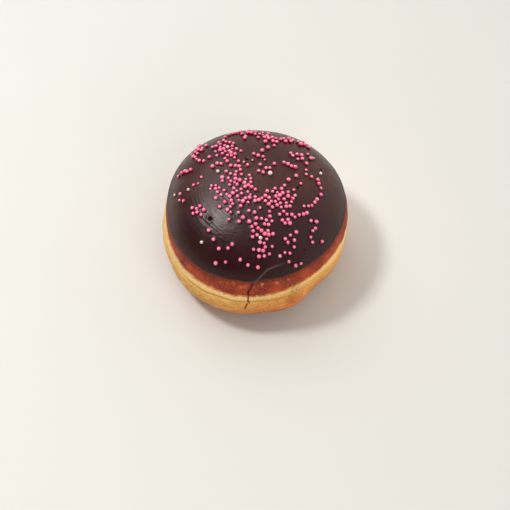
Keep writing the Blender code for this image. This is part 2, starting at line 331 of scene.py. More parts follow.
@dataclass(frozen=True)
class BunForm:
    """The turned form of the bun with its swells, the same as the frame's, in millimetres."""

    radius: float = 43.0
    height: float = 51.0
    waist: float = 22.0
    upper_squareness: float = 2.4
    lower_squareness: float = 3.1
    lower_depth: float = 25.0
    centre: tuple[float, float] = (0.2, 0.7)
    blend_low: float = 16.0
    blend_high: float = 26.0
    lower_swells: tuple[Swell, ...] = (
        Swell(-50, 9, -1.3),
        Swell(-66, 8, 1.7),
        Swell(-95, 16, 2.0),
        Swell(-128, 18, 2.5),
        Swell(160, 30, 0.5),
        Swell(10, 30, -0.6),
    )
    upper_swells: tuple[Swell, ...] = (
        Swell(-45, 30, -1.6),
        Swell(-135, 30, 0.2),
        Swell(135, 30, 1.3),
        Swell(45, 30, 0.8),
        Swell(90, 28, 0.1),
        Swell(180, 22, -1.8),
        Swell(0, 22, 0.2),
    )

    @staticmethod
    def swell_sum(swells: tuple[Swell, ...], azimuth: Array) -> Array:
        """Sum of the swells at azimuths in degrees."""
        parts = (s.amount * np.exp(-0.5 * (turn_between(azimuth, s.azimuth) / s.spread) ** 2) for s in swells)
        return sum(parts)

    def quarter(self, angle: Array) -> tuple[Array, Array]:
        """Reach from 0 to 1 and height at a quarter's angle in degrees, up or down from the waist."""
        upper = angle >= 0.0
        power = np.where(upper, 2.0 / self.upper_squareness, 2.0 / self.lower_squareness)
        depth = np.where(upper, self.height - self.waist, -self.lower_depth)
        turn = np.radians(np.abs(angle))
        reach = np.clip(np.cos(turn), 0.0, 1.0) ** power
        return reach, self.waist + depth * np.sin(turn) ** power

    def skin(self, reach: Array, height: Array, azimuth: Array) -> Array:
        """Points on the skin with its swells, for a reach and height of the turned form."""
        upper = ease(height, self.blend_low, self.blend_high)
        swell = (1.0 - upper) * self.swell_sum(self.lower_swells, azimuth)
        swell = swell + upper * self.swell_sum(self.upper_swells, azimuth)
        turn = np.radians(azimuth)
        radius = reach * (self.radius + swell)
        x = self.centre[0] + radius * np.cos(turn)
        y = self.centre[1] + radius * np.sin(turn)
        return np.stack([x, y, height + 0.0 * radius], axis=-1)

    @cached_property
    def meridian(self) -> tuple[Array, Array, Array]:
        """The side's line from the top down: arc length, quarter's angle and height."""
        angles = 90.0 - 180.0 * np.linspace(0.0, 1.0, 7201)
        reach, height = self.quarter(angles)
        steps = np.hypot(np.diff(reach * self.radius), np.diff(height))
        return np.concatenate([[0.0], np.cumsum(steps)]), angles, height

    @cached_property
    def base_arc(self) -> float:
        """Arc length at which the side reaches the ground."""
        arc, _, height = self.meridian
        return float(np.interp(0.0, -height, arc))

    def arc_at(self, height: Array) -> Array:
        """Arc length down the side at a height."""
        arc, _, heights = self.meridian
        return np.interp(-height, -heights, arc)

    def at_arc(self, arc: Array, azimuth: Array) -> Array:
        """Points on the skin at an arc length from the top and an azimuth in degrees."""
        arcs, angles, _ = self.meridian
        reach, height = self.quarter(np.interp(arc, arcs, angles))
        return self.skin(reach, height, azimuth)

    def side(self, azimuth: float, height: float) -> Array:
        """The point of the side at an azimuth in degrees and a height."""
        return self.at_arc(self.arc_at(np.array([height])), np.array([azimuth]))[0]

    def outward(self, arc: Array, azimuth: Array) -> Array:
        """Unit vectors straight out of the skin."""
        arc = np.maximum(arc, 0.3)
        down = self.at_arc(arc + 0.1, azimuth) - self.at_arc(arc - 0.1, azimuth)
        round_about = self.at_arc(arc, azimuth + 0.2) - self.at_arc(arc, azimuth - 0.2)
        out = np.cross(down, round_about)
        return out / np.linalg.norm(out, axis=1)[:, None]

    def icing_edge(self, azimuth: Array) -> Array:
        """Height of the icing's edge, which waves round the bun."""
        turn = np.radians(azimuth)
        wave = 31.55 - 0.19 * np.sin(turn) + 0.53 * np.cos(turn) - 0.9 * np.cos(2.0 * turn)
        ring = self.radius * np.stack([np.cos(turn), np.sin(turn), 0.0 * turn], axis=-1)
        return wave + 0.55 * grain(ring, 11.0, 3.3) + 0.3 * grain(ring, 3.4, 7.1)

    def crust_edge(self, azimuth: Array) -> Array:
        """Height at which the brown crust gives way to the pale ring."""
        turn = np.radians(azimuth)
        front = -np.sin(turn)
        side = 27.8 + 0.5 * np.cos(turn)
        dip = 1.7 * sector(azimuth, -14.0, 24.0)
        return side - dip - 4.2 * np.maximum(front, 0.0) - 1.0 * np.maximum(-front, 0.0)

    def dome(self, x: float, y: float) -> tuple[Vector, Vector]:
        """The point of the dome over a plan position, and the unit vector straight out there."""

        def rise(east: float, north: float) -> Array:
            """The dome's point over a plan position."""
            aside = math.hypot(east - self.centre[0], north - self.centre[1])
            azimuth = math.degrees(math.atan2(north - self.centre[1], east - self.centre[0]))
            reach = min(aside / (self.radius + self.swell_sum(self.upper_swells, azimuth)), 0.985)
            share = (1.0 - reach**self.upper_squareness) ** (1.0 / self.upper_squareness)
            height = self.waist + (self.height - self.waist) * share
            return self.skin(np.array(reach), np.array(height), np.array(azimuth))

        east = rise(x + 0.2, y) - rise(x - 0.2, y)
        north = rise(x, y + 0.2) - rise(x, y - 0.2)
        return Vector(rise(x, y)), Vector(np.cross(east, north)).normalized()


# The bun


@dataclass(frozen=True)
class DoughFinish:
    """Fried dough: brown crust above, a pale ring round the waist, golden below."""

    crust: tuple = rgb(182, 70, 33)
    crust_deep: tuple = rgb(130, 40, 20)
    crust_light: tuple = rgb(204, 98, 52)
    fleck: tuple = rgb(216, 132, 96)
    blush: tuple = rgb(218, 140, 84)
    pale: tuple = rgb(250, 203, 127)
    rim: tuple = rgb(254, 217, 154)
    cream: tuple = rgb(243, 190, 106)
    golden: tuple = rgb(237, 174, 93)
    olive: tuple = rgb(204, 156, 72)
    toasted: tuple = rgb(218, 124, 60)
    underside: tuple = rgb(166, 88, 46)
    umber: tuple = rgb(190, 106, 48)
    crease: tuple = rgb(176, 132, 50)
    # Painted shade for inside the crack
    depth: tuple = rgb(66, 24, 14)
    lip: tuple = rgb(176, 104, 84)
    # Azimuth and height of small flakes of the crust beside the crack
    flakes: tuple = ((-99.0, 30.0), (-96.0, 30.0), (-86.0, 31.3), (-76.5, 30.8), (-103.5, 31.2))

    def material(self, form: BunForm) -> bpy.types.Material:
        """Mix the colours by the numbers stored on the bun's points."""
        g = Graph("fried_dough")
        fine, middle, broad = g.noise(0.9, 3.0, 0.6), g.noise(2.6, 3.0, 0.55), g.noise(8.0, 2.0)
        flat = g.stretched((1.0, 1.0, 2.3))
        bands, specks = g.noise(3.4, 3.0, 0.6, flat), g.noise(0.9, 2.0, 0.5, flat)
        over = g.attribute("over_ring") + (middle - 0.5) * 2.8 + (broad - 0.5) * 1.6 + (fine - 0.5) * 1.9
        height = g.attribute("height")
        low = height + (broad - 0.5) * 8.0 + (bands - 0.5) * 9.0

        brown = g.blend(middle.ease(0.45, 0.75) * 0.55, self.crust, self.crust_light)
        brown = g.blend(((broad + fine * 0.9) / 1.9).ease(0.44, 0.60), brown, self.crust_deep)
        brown = g.blend(fine.ease(0.56, 0.67) * 0.65, brown, self.fleck)
        # Painted shade: the crust is darkened in a band just under the icing's lip
        under_icing = g.attribute("under_edge") + (fine - 0.5) * 2.2 + (middle - 0.5) * 2.0
        brown = g.blend(under_icing.ease(2.3, 0.2) * 0.65, brown, self.crust_deep)
        for spot in self.flakes:
            flake = g.near(form.side(*spot)).ease(1.7, 0.5)
            brown = g.blend(flake * fine.ease(0.47, 0.58) * 0.8, brown, self.fleck)
        below = g.blend(low.ease(17.5, 20.5), self.golden, self.cream)
        below = g.blend(bands.ease(0.50, 0.36) * 0.65, below, self.olive)
        below = g.blend(bands.ease(0.56, 0.70) * 0.5, below, self.pale)
        below = g.blend(specks.ease(0.53, 0.64) * 0.6, below, self.toasted)
        below = g.blend(low.ease(15.5, 8.5) * 0.9, below, self.toasted)
        below = g.blend(low.ease(8.0, 2.0), below, self.underside)
        side = g.blend(over.ease(-5.0, -1.6), below, self.pale)
        side = g.blend(over.ease(-2.4, -1.1) * 0.8, side, self.rim)
        side = g.blend(over.ease(-0.9, 0.4), side, self.blush)
        skin = g.blend(over.ease(0.1, 1.3), side, brown)
        skin = g.blend(g.attribute("dimple") * specks.ease(0.38, 0.56) * 0.8, skin, self.crease)
        skin = g.blend(g.attribute("patch") * bands.ease(0.34, 0.5) * 0.9, skin, self.umber)
        # The fold line's colour is partly its own olive tone and partly painted shade in the crease
        skin = g.blend(g.attribute("crease") * 0.7, skin, self.crease)
        skin = g.blend(g.attribute("lip") * 0.6, skin, self.lip)
        # Painted shade: the crack and the slit are filled with a near-black brown
        skin = g.blend(g.attribute("crack"), skin, self.depth)
        skin = g.shade(0.82 + 0.36 * fine, skin)

        pores = g.noise(0.7, 2.0) + 0.8 * middle
        return g.finish(
            Base_Color=skin,
            Roughness=0.55 + 0.14 * middle,
            Normal=g.bump(pores, 0.15),
            Subsurface_Weight=0.12,
            Subsurface_Radius=(0.004, 0.002, 0.001),
            Subsurface_Scale=0.3,
            IOR=1.35,
        )


@dataclass(frozen=True)
class Dent:
    """A small notch of the side: azimuth in degrees, height, width and depth in millimetres.

    A negative depth makes a bump.
    """

    azimuth: float
    height: float
    width: float
    depth: float


@dataclass
class Bun:
    """The fried bun, all but its underside and what the icing hides in fine rings."""

    form: BunForm
    segments: int = 560
    hidden_rings: int = 20
    base_rings: int = 16
    rings: int = 172
    under_icing: float = 2.5
    recess: float = 1.7
    fold_height: float = 21.0
    fold_depth: float = 0.3
    fold_ends: tuple[float, float] = (-137.0, -66.0)
    # The crack, its paler lip and the slit below it: across the front and up, in millimetres
    crack_path: tuple = (
        (-0.9, 32.4),
        (-1.8, 30.0),
        (-2.7, 27.6),
        (-3.2, 25.9),
        (-3.1, 22.4),
        (-3.3, 21.2),
        (-2.7, 20.2),
    )
    lip_path: tuple = ((0.2, 33.1), (-0.4, 31.4), (-1.2, 28.6), (-2.0, 26.6))
    slit_path: tuple = ((-3.5, 19.6), (-4.0, 18.6), (-4.5, 17.2))
    crack_azimuth: float = -94.0
    dents: tuple[Dent, ...] = (
        Dent(-164.0, 23.1, 1.4, 0.8),
        Dent(-131.0, 17.0, 1.6, 0.8),
        Dent(-65.0, 21.6, 1.7, -0.7),
        Dent(-61.0, 19.4, 1.3, 0.6),
        Dent(-70.0, 20.4, 1.2, 0.45),
        Dent(-68.0, 17.4, 1.6, -0.4),
        Dent(-56.5, 22.4, 1.4, 0.4),
    )
    # Azimuth and height of the lumpy patch at the lower right and of the dimple over it
    patch: tuple[float, float] = (-67.0, 17.8)
    dimple: tuple[float, float] = (-65.0, 22.0)
    patch_widths: tuple[float, float, float] = (4.0, 4.0, 2.2)

    def columns(self, azimuth: Array) -> Array:
        """Draw the columns together round the crack."""
        near = turn_between(azimuth, self.crack_azimuth)
        return azimuth - 6.0 * np.tanh(near / 11.0) * bell(near, 0.0, 40.0)

    def ring_arcs(self, ring: Array, azimuth: Array) -> Array:
        """Arc length of each point's ring: a few under the icing, most on the side."""
        form = self.form
        top = form.arc_at(form.icing_edge(azimuth)) - self.under_icing
        side_rings = self.rings - self.hidden_rings - self.base_rings
        hidden = top * ring / self.hidden_rings
        side = top + (form.base_arc - top) * (ring - self.hidden_rings) / side_rings
        return np.where(ring <= self.hidden_rings, hidden, np.minimum(side, form.base_arc))

    def relief(self, places: Array, azimuth: Array, icing_gap: Array) -> Array:
        """How far each point stands out of the plain form.

        Args:
            places: the points on the plain form.
            azimuth: their azimuths in degrees.
            icing_gap: how far each lies above the icing's edge along the skin.
        Returns:
            Heights in millimetres; the crease and the crack are negative.
        """
        lumps = 0.34 * grain(places, 13.0, 1.7) + 0.17 * grain(places, 4.6, 5.2)
        lumps += 0.08 * grain(places, 1.7, 9.4)
        crust = ease(places[:, 2] - self.form.crust_edge(azimuth), -0.5, 1.5)
        wrinkles = 0.11 * grain(places * (1.0, 1.0, 3.2), 3.1, 4.4)
        wrinkles += 0.06 * grain(places * (1.0, 1.0, 2.0), 1.4, 2.2)
        height = lumps + crust * wrinkles
        height -= self.crease(places, azimuth) * self.fold_depth
        height += 0.28 * self.fold_share(azimuth) * bell(places[:, 2] - self.fold_line(places), 1.05, 0.75)
        height -= 1.1 * self.crack(places)
        for dent in self.dents:
            spot = self.form.side(dent.azimuth, dent.height)
            height -= dent.depth * round_spot(places, spot, dent.width)
        return height - self.recess * ease(icing_gap, 0.7, 4.2)

    def fold_line(self, places: Array) -> Array:
        """Height of the crease at each point's place round the bun."""
        around = places * (1.0, 1.0, 0.0)
        return self.fold_height + 0.55 * grain(around, 9.0, 6.1) + 0.2 * grain(around, 2.6, 8.8)

    def fold_share(self, azimuth: Array) -> Array:
        """1 along the front crease, 0 away from it; fainter creases run at the back."""
        start, end = self.fold_ends
        front = ease(azimuth, start - 4.0, start + 8.0) * ease(azimuth, end + 3.0, end - 14.0)
        return front + 0.6 * sector(azimuth, 72.0, 24.0) + 0.5 * sector(azimuth, 165.0, 12.0)

    def crease(self, places: Array, azimuth: Array) -> Array:
        """Depth share of the crease: sharp above, open below."""
        above = places[:, 2] - self.fold_line(places)
        width = np.where(above > 0.0, 0.25, 0.48)
        return self.fold_share(azimuth) * bell(above, 0.0, width)

    def crack(self, places: Array) -> Array:
        """Depth share of the crack and the slit below it."""
        front = places[:, 1] < FRONT
        waver = np.stack([grain(places, 1.6, 3.0), grain(places, 1.6, 6.0)], axis=-1)
        flat = places[:, (0, 2)] + 0.16 * waver
        crack = path_distance(flat, np.array(self.crack_path))
        slit = path_distance(flat, np.array(self.slit_path))
        soft = ease(places[:, 2], 25.5, 28.0)
        width = 0.30 + 0.42 * soft
        crack = (1.0 - 0.22 * soft) * bell(crack, 0.0, width)
        return front * np.maximum(crack, 0.95 * bell(slit, 0.0, 0.30))

    def lip(self, places: Array) -> Array:
        """1 on the paler edge that runs along the crack's right side."""
        gap = path_distance(places[:, (0, 2)], np.array(self.lip_path))
        return (places[:, 1] < FRONT) * bell(gap, 0.0, 0.38)

    def store_numbers(
        self, mesh: bpy.types.Mesh, places: Array, azimuth: Array, icing_gap: Array
    ) -> None:
        """Store the numbers that the material reads.

        Args:
            mesh: the bun's mesh.
            places: its points on the plain form.
            azimuth: their azimuths in degrees.
            icing_gap: how far each lies above the icing's edge along the skin.
        """
        over = places[:, 2] - self.form.crust_edge(azimuth)
        sides = sector(azimuth, -165.0, 38.0) + sector(azimuth, -10.0, 30.0)
        stretch = 1.0 - 0.5 * sides + 0.5 * sector(azimuth, -70.0, 20.0)
        # The front right is toasted higher up than the rest, the front left not as high
        lean = 5.6 * sector(azimuth, -70.0, 32.0) - 2.5 * sector(azimuth, -128.0, 28.0)
        write_numbers(
            mesh,
            over_ring=np.where(over < 0.0, over * stretch, over),
            height=places[:, 2] - lean,
            crease=self.crease(places, azimuth),
            crack=self.crack(places),
            lip=self.lip(places),
            under_edge=-icing_gap,
            patch=round_spot(places, self.form.side(*self.patch), self.patch_widths),
            dimple=round_spot(places, self.form.side(*self.dimple), self.patch_widths),
        )

    def build(self, finish: DoughFinish) -> bpy.types.Object:
        """Model the bun and dress it."""
        bun = coarse_sphere(self.segments, self.rings)
        bun.name = "bun"
        split_faces()
        start = read_places(bun.data)
        ring = self.rings * np.arccos(start[:, 2] / np.linalg.norm(start, axis=1)) / math.pi
        azimuth = self.columns(np.degrees(np.arctan2(start[:, 1], start[:, 0])))
        arc = self.ring_arcs(ring, azimuth)
        places = self.form.at_arc(arc, azimuth)
        icing_gap = self.form.arc_at(self.form.icing_edge(azimuth)) - arc
        on_base = np.clip((ring - (self.rings - self.base_rings)) / self.base_rings, 0.0, 1.0)

        off_base = ease(arc, self.form.base_arc, self.form.base_arc - 4.0)
        height = self.relief(places, azimuth, icing_gap) * off_base
        raised = places + self.form.outward(arc, azimuth) * height[:, None]
        centre = np.array((*self.form.centre, 0.0))
        raised = raised + (centre - raised) * on_base[:, None] * (1.0, 1.0, 0.0)
        raised[:, 2] = np.maximum(raised[:, 2], 0.0)
        self.store_numbers(bun.data, places, azimuth, icing_gap)
        write_places(bun.data, raised)
        bun.data.shade_smooth()
        dress(bun, finish.material(self.form))
        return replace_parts(bun, "dough")


# The icing


@dataclass(frozen=True)
class IcingFinish:
    """Dark chocolate icing: satin, browner where it thins out, with a few pits."""

    body: tuple = rgb(58, 23, 20)
    warm: tuple = rgb(72, 31, 22)
    # Painted shade for the icing's lower edge and its front
    edge_shade: tuple = rgb(42, 16, 17)
    thin: tuple = rgb(104, 38, 20)
    # Painted shade for the pits and round the foot of each pearl
    deep_shade: tuple = rgb(18, 9, 8)
    hairline: tuple = rgb(112, 88, 84)
    stain: tuple = rgb(120, 40, 58)
    # Plan position and width of each pit, and plan positions of pink smears
    pits: tuple = (
        (-20.0, -15.7, 0.75),
        (-3.6, 14.8, 0.7),
        (28.0, 7.2, 0.6),
        (30.0, 13.1, 0.55),
        (19.3, -0.5, 0.6),
        (21.8, -27.5, 0.5),
        (-3.1, -35.0, 0.3),
    )
    stains: tuple = ((32.0, 18.0), (34.0, 12.0), (37.0, 7.5))

    def pit_spots(self, form: BunForm) -> list[tuple[Array, float]]:
        """Each pit's place on the dome and its width."""
        return [(np.array(form.dome(x, y)[0]), width) for x, y, width in self.pits]

    def material(self, form: BunForm) -> bpy.types.Material:
        """Mix the colours and the bump."""
        g = Graph("chocolate_icing")
        broad, middle = g.noise(9.0, 3.0), g.noise(2.2, 3.0, 0.6)
        colour = g.blend(broad.ease(0.35, 0.7), self.body, self.warm)
        rim = g.attribute("edge_gap") + (middle - 0.5) * 1.6 + (broad - 0.5) * 1.2
        # Painted shade: darker towards the lower edge and towards the front
        colour = g.blend(rim.ease(9.0, 1.0).larger(g.attribute("front") * 0.75), colour, self.edge_shade)
        colour = g.blend((rim - 2.0 * g.attribute("sheer")).ease(1.8, 0.1) * 0.8, colour, self.thin)
        colour = g.blend(g.attribute("shaded") * 0.75, colour, self.deep_shade)
        colour = g.blend(g.attribute("hairline"), colour, self.hairline)
        for x, y in self.stains:
            colour = g.blend(g.near(form.dome(x, y)[0]).ease(1.6, 0.4) * 0.6 * middle, colour, self.stain)
        holes = None
        for spot, width in self.pit_spots(form):
            pit = g.near(spot).ease(width * 1.15, width * 0.6)
            holes = pit if holes is None else holes.larger(pit)
        # Painted shade: the pits are filled with the darkest colour
        colour = g.blend(holes, colour, self.deep_shade)

        around = g.vector("DISTANCE", g.stretched((1.0, 1.0, 0.0)), (0.0, 0.0, 0.0), "Value")
        wander = g.noise(14.0, 2.0)
        ridges = g.node(
            "ShaderNodeTexNoise",
            {"noise_dimensions": "1D"},
            {"W": around / MM + wander * 3.0, "Scale": 0.9, "Detail": 2.0},
            "Fac",
        )
        combed = g.noise(1.4, 3.0, 0.6, g.stretched((0.35, 1.0, 1.0)))
        relief = ridges * g.attribute("streaks") * 0.8 + combed * g.attribute("brushed") * 0.9
        relief = relief + middle * 0.34 + g.noise(0.8, 2.0) * 0.14 - holes * 3.0
        return g.finish(
            Base_Color=colour,
            Roughness=0.28 + 0.10 * middle + 0.06 * broad + 0.2 * rim.ease(7.0, 1.0) + 0.5 * holes,
            Normal=g.bump(relief, 0.16),
            IOR=1.43,
        )


@dataclass
class Icing:
    """The coat of icing: an outer face, a thin edge that dips into the bun, and an inner face."""

    form: BunForm
    segments: int = 480
    outer_rings: int = 152
    inner_rings: int = 16
    coat: float = 1.3
    # Width of the inner face's turn at the edge
    round_width: float = 1.1
    rim_step: float = 0.05
    # Across the front and up, in millimetres
    hairline_path: tuple = ((14.0, 39.0), (8.0, 38.5), (5.5, 38.0), (2.5, 35.5), (0.0, 33.0), (-0.6, 31.5))

    def bag(self) -> bpy.types.Object:
        """A half sphere whose open rim is extruded downwards ring by ring and closed."""
        icing = coarse_sphere(self.segments, 2 * self.outer_rings)
        icing.name = "icing_coat"
        below = read_places(icing.data)[:, 2] < -0.01
        bpy.ops.object.mode_set(mode="EDIT")
        bpy.ops.mesh.select_all(action="DESELECT")
        bpy.ops.object.mode_set(mode="OBJECT")
        icing.data.vertices.foreach_set("select", below)
        bpy.ops.object.mode_set(mode="EDIT")
        bpy.ops.mesh.delete(type="VERT")
        bpy.ops.mesh.select_mode(type="VERT")
        bpy.ops.mesh.select_non_manifold()
        for _ in range(self.inner_rings // SPLIT):
            down = {"value": (0.0, 0.0, -self.rim_step * SPLIT)}
            bpy.ops.mesh.extrude_edges_move(TRANSFORM_OT_translate=down)
        bpy.ops.mesh.edge_face_add()
        bpy.ops.mesh.poke()
        bpy.ops.mesh.select_all(action="SELECT")
        bpy.ops.mesh.normals_make_consistent(inside=False)
        bpy.ops.object.mode_set(mode="OBJECT")
        split_faces()
        return icing

    def rings_of(self, start: Array) -> tuple[Array, Array]:
        """Ring number on the outer face, and on the inner face, of each point of the bag."""
        steep = np.arccos(np.clip(start[:, 2] / np.linalg.norm(start, axis=1), 0.0, 1.0))
        outer = self.outer_rings * steep / (0.5 * math.pi)
        inner = -start[:, 2] / self.rim_step + (1.0 - np.hypot(start[:, 0], start[:, 1])) * SPLIT
        return outer, np.where(start[:, 2] < -0.1 * self.rim_step, inner, 0.0)

    @staticmethod
    def pearl_gaps(places: Array, pearls: list["Pearl"]) -> Array:
        """Distance of each point from the nearest pearl's foot, in millimetres."""
        tree = KDTree(len(pearls))
        for number, pearl in enumerate(pearls):
            tree.insert(pearl.point, number)
        tree.balance()
        return np.array([tree.find(place)[2] for place in places.tolist()])

    def relief(self, places: Array, edge_gap: Array, gaps: Array, pits: list) -> Array:
        """How far each outer point stands out of the plain form.

        Args:
            places: the points on the plain form.
            edge_gap: how far each lies above the icing's edge along the skin.
            gaps: distance from the nearest pearl, round which the icing climbs a little.
            pits: place and width of each pit.
        Returns:
            Heights in millimetres.
        """
        lift = -0.12 + 0.40 * ease(edge_gap, 0.0, 1.5) - 0.18 * ease(edge_gap, 1.5, 9.0)
        lumps = 0.13 * grain(places, 11.0, 2.5) + 0.05 * grain(places, 4.2, 7.9)
        meniscus = 0.12 * bell(np.maximum(gaps, 0.7), 0.7, 0.55)
        dips = np.zeros(len(places))
        for spot, width in pits:
            gap = np.linalg.norm(places - spot, axis=1)
            dips += 0.8 * width * bell(gap, 0.0, width) - 0.12 * bell(gap, 2.0 * width, 0.5 * width)
        groove = 0.14 * self.hairline(places + (0.5, 0.0, 0.2))
        return lift + lumps * ease(edge_gap, 0.0, 2.0) + meniscus - dips - groove

    def hairline(self, places: Array) -> Array:
        """1 on the fine crack near the front edge."""
        gap = path_distance(places[:, (0, 2)], np.array(self.hairline_path))
        front = ease(places[:, 1], FRONT + 2.0, FRONT - 1.0)
        return front * ease(places[:, 0], 16.0, 6.0) * bell(gap, 0.0, 0.30)

    def streaks(self, places: Array) -> Array:
        """Where the icing shows the ridges of its wiping: the west shoulder."""
        azimuth = np.degrees(np.arctan2(places[:, 1], places[:, 0]))
        reach = np.hypot(places[:, 0], places[:, 1])
        return sector(azimuth, -158.0, 44.0) * ease(reach, 12.0, 19.0) * ease(reach, 39.0, 33.0)

    def build(self, finish: IcingFinish, pearls: list["Pearl"]) -> bpy.types.Object:
        """Model the coat and dress it."""
        icing = self.bag()
        start = read_places(icing.data)
        outer, inner = self.rings_of(start)
        azimuth = np.degrees(np.arctan2(start[:, 1], start[:, 0]))
        edge = self.form.arc_at(self.form.icing_edge(azimuth))
        inside = inner > 0
        back = np.clip((inner - 3.0) / (self.inner_rings + SPLIT - 3.0), 0.0, 1.0)
        inner_gap = np.minimum(0.35 * inner, self.round_width) + back * (edge - self.round_width)
        edge_gap = np.where(inside, inner_gap, edge * (1.0 - outer / self.outer_rings))
        arc = edge - edge_gap
        places = self.form.at_arc(arc, azimuth)
        depth = np.minimum(0.12 + 0.3 * inner, self.coat)
        gaps = self.pearl_gaps(places, pearls)
        lift = np.where(inside, -depth, self.relief(places, edge_gap, gaps, finish.pit_spots(self.form)))
        write_numbers(
            icing.data,
            shaded=bell(np.maximum(gaps, 0.85), 0.85, 0.45),
            edge_gap=edge_gap,
            hairline=0.8 * self.hairline(places),
            streaks=self.streaks(places),
            brushed=round_spot(places, (-8.0, -20.0, 46.0), (12.0, 11.0, 20.0)),
            # Painted shade: rises towards the front, where it darkens the icing
            front=ease(places[:, 1], 2.0, -20.0),
            sheer=sector(azimuth, -158.0, 32.0),
        )
        write_places(icing.data, places + self.form.outward(arc, azimuth) * lift[:, None])
        icing.data.shade_smooth()
        dress(icing, finish.material(self.form))
        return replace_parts(icing, "icing")


# The sugar pearls


class PearlKind(Enum):
    """The colours that the pearls come in."""

    PINK = "pink"
    PALE = "pale"


@dataclass
class Pearl:
    """One pearl: where it touches the icing, the way out of it there, its radius and its kind."""

    point: Vector
    normal: Vector
    radius: float = 0.95
    kind: PearlKind = PearlKind.PINK


@dataclass(frozen=True)
class Drift:
    """A loose line of pearls, seen from above in millimetres: ends, sideways bow, scatter, count."""

    start: tuple[float, float]
    end: tuple[float, float]
    bow: float
    scatter: float
    count: int


DRIFTS = {
    "back rim west": Drift((-14.5, 34.0), (-1.0, 33.5), 1.0, 1.3, 8),
    "back rim": Drift((-1.0, 32.5), (11.5, 23.5), 0.5, 1.7, 14),
    "back rim east": Drift((11.5, 28.5), (25.0, 27.5), 1.0, 1.6, 10),
    "upper west heap": Drift((-15.5, 28.0), (-14.0, 16.5), 0.0, 1.7, 12),
    "upper heap": Drift((-12.5, 22.5), (-6.5, 17.5), 0.0, 1.7, 10),
    "far west hook": Drift((-22.5, 29.0), (-28.5, 19.5), -0.8, 1.1, 8),
    "west hook": Drift((-27.5, 18.0), (-20.5, 17.0), -1.6, 0.6, 4),
    "west row": Drift((-36.0, 13.3), (-28.0, 11.8), 0.0, 0.7, 5),
    "upper row": Drift((-20.0, 12.5), (-0.5, 11.5), 0.6, 1.5, 12),
    "crown row": Drift((-1.5, 17.2), (5.0, 17.2), 0.0, 1.1, 4),
    "crown drop": Drift((1.5, 10.8), (8.0, 8.8), -1.2, 1.5, 8),
    "east row": Drift((12.8, 12.2), (18.2, 11.9), 0.0, 0.6, 4),
    "east heap": Drift((16.0, 18.8), (26.5, 16.5), 1.4, 1.8, 10),
    "diagonal": Drift((-12.5, 6.5), (-7.0, -11.5), 1.2, 2.3, 28),
    "diagonal west": Drift((-20.5, 0.5), (-14.0, -4.0), 0.8, 1.5, 8),
    "diagonal east": Drift((-6.5, 3.0), (-1.0, -6.5), 0.0, 1.4, 6),
    "shoulder": Drift((-22.0, 6.5), (-30.0, 1.5), 0.0, 0.8, 4),
    "bridge": Drift((-3.0, -7.0), (4.5, -9.5), 0.0, 1.2, 8),
    "core": Drift((5.0, -6.0), (18.0, -5.5), 0.5, 2.0, 16),
    "core low": Drift((6.0, -10.0), (15.5, -11.5), 0.0, 1.3, 9),
    "core drop": Drift((11.5, -14.5), (14.5, -19.5), 0.0, 1.4, 7),
    "core spur": Drift((17.0, -14.5), (23.0, -12.5), 0.0, 0.6, 4),
    "ring top": Drift((22.0, 10.5), (29.0, 1.0), 1.2, 0.8, 6),
    "ring middle": Drift((29.6, -2.0), (21.0, -10.8), 1.0, 0.7, 6),
    "ring low": Drift((27.5, -13.8), (25.5, -24.5), 1.2, 1.3, 7),
    "south heap": Drift((-2.5, -23.0), (8.0, -19.0), 0.0, 1.5, 9),
    "south heap low": Drift((1.0, -26.0), (8.5, -22.8), 0.0, 1.0, 5),
    "south tail": Drift((-1.0, -29.0), (4.5, -31.5), 0.0, 1.1, 4),
    "south east": Drift((7.0, -29.5), (19.0, -29.0), -0.8, 1.2, 6),
    "south pair": Drift((12.0, -25.0), (18.0, -21.0), -1.0, 0.8, 3),
    "nest": Drift((-28.5, -10.5), (-22.5, -11.8), 0.0, 1.1, 7),
    "belly": Drift((-16.0, -11.5), (2.5, -16.0), 0.0, 1.9, 8),
    "belly low": Drift((-13.0, -18.0), (1.0, -19.5), 0.0, 1.0, 4),
    "front west": Drift((-21.5, -21.0), (-9.5, -31.5), 0.0, 2.4, 5),
    "front row": Drift((-19.5, -32.5), (2.0, -36.0), 0.0, 0.5, 5),
    "front east": Drift((17.4, -33.8), (20.8, -31.4), 0.0, 0.4, 2),
    "east singles": Drift((12.4, 2.5), (21.5, 2.2), 0.0, 1.0, 3),
    "west singles": Drift((-36.0, 2.0), (-29.0, -5.5), 0.0, 0.8, 3),
    # These fill the thickest heaps, and come last so that those above keep their places
    "diagonal filler": Drift((-12.0, 8.0), (-6.0, -10.5), 1.4, 2.0, 12),
    "core filler": Drift((4.5, -6.0), (16.5, -8.5), 0.4, 2.0, 10),
    "heap filler": Drift((-17.5, 25.0), (-9.0, 19.5), 0.0, 2.0, 8),
    "hook filler": Drift((-24.0, 28.0), (-27.5, 19.5), -0.6, 0.9, 5),
    "rim filler": Drift((-6.0, 34.0), (11.0, 27.0), 1.0, 1.4, 6),
    "south filler": Drift((-1.5, -24.0), (6.5, -20.5), 0.0, 1.8, 6),
    "south low filler": Drift((0.0, -30.5), (5.5, -26.0), 0.0, 1.5, 3),
    "south pair filler": Drift((11.5, -25.0), (17.5, -25.3), 0.0, 0.3, 3),
}


